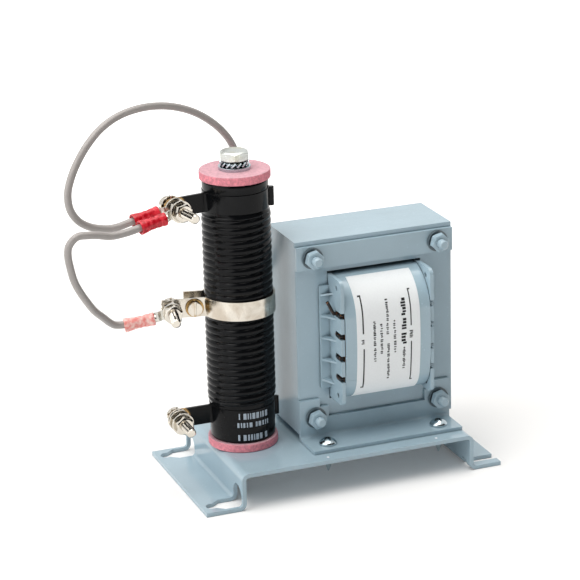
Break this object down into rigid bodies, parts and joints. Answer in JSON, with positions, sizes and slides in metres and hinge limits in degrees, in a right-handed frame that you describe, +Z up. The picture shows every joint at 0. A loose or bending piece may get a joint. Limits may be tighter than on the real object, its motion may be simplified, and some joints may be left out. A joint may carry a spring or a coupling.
{
  "type": "transformer",
  "caption": "Small laminated-core transformer and a tapped tubular power resistor on one folded steel base, joined by grey leads with ring terminals.",
  "frame": {"origin": "on the floor under the base, in the middle of the four fixing screws", "axes": "+Z up along the resistor, +X along the base from the resistor to the transformer, -Y towards the side with the label"},
  "size_m": [0.1807, 0.072, 0.1637],
  "materials": {
    "painted_sheet": "blue-grey semi-gloss paint over folded sheet steel",
    "painted_core": "blue-grey paint over stacked laminations",
    "painted_bobbin": "moulded bobbin dipped in the same blue-grey paint",
    "coil_wrap": "wrapped film under blue-grey paint",
    "label_paper": "matt white printed paper",
    "copper_wire": "enamelled copper wire",
    "tinned_tag": "tinned brass",
    "painted_fastener": "steel fastener painted with the core",
    "zinc_steel": "bright zinc plate",
    "nickel_steel": "nickel plate",
    "white_ceramic": "unglazed steatite",
    "black_enamel": "black cement enamel with a soft sheen",
    "pink_fibre": "pressed pink insulating board",
    "red_sleeve": "moulded vinyl",
    "grey_lead": "grey vinyl insulation"
  },
  "bodies": {
    "root": {"base_plate": "painted_sheet", "front_clamp_strip": "painted_sheet", "rear_clamp_strip": "painted_sheet", "front_foot_bracket": "painted_sheet", "rear_foot_bracket": "painted_sheet", "core_e_stack": "painted_core", "core_i_stack": "painted_core", "bobbin": "painted_bobbin", "winding_wrap": "coil_wrap", "label": "label_paper", "primary_winding": "copper_wire", "secondary_winding": "copper_wire", "winding_ends": "copper_wire", "solder_tags": "tinned_tag", "long_lead_ring": "tinned_tag", "short_lead_ring": "tinned_tag", "tap_lead_ring": "tinned_tag", "core_bolts": "painted_fastener", "core_nuts": "painted_fastener", "spring_washers": "painted_fastener", "foot_screws": "zinc_steel", "resistor_bolt": "zinc_steel", "resistor_flat_washer": "zinc_steel", "resistor_tooth_washer": "zinc_steel", "resistor_under_washer": "zinc_steel", "resistor_nut": "zinc_steel", "tap_band": "nickel_steel", "clamp_screw": "nickel_steel", "clamp_washer": "nickel_steel", "clamp_nut": "nickel_steel", "terminal_screws": "nickel_steel", "terminal_nuts": "nickel_steel", "terminal_washers": "nickel_steel", "terminal_tooth_washers": "nickel_steel", "ceramic_tube": "white_ceramic", "resistor_winding": "black_enamel", "upper_terminal_band": "black_enamel", "lower_terminal_band": "black_enamel", "lower_insulating_washer": "pink_fibre", "upper_insulating_washer": "pink_fibre", "long_lead_sleeve": "red_sleeve", "short_lead_sleeve": "red_sleeve", "tap_lead_sleeve": "red_sleeve", "long_lead": "grey_lead", "short_lead": "grey_lead"}
  },
  "joints": []
}
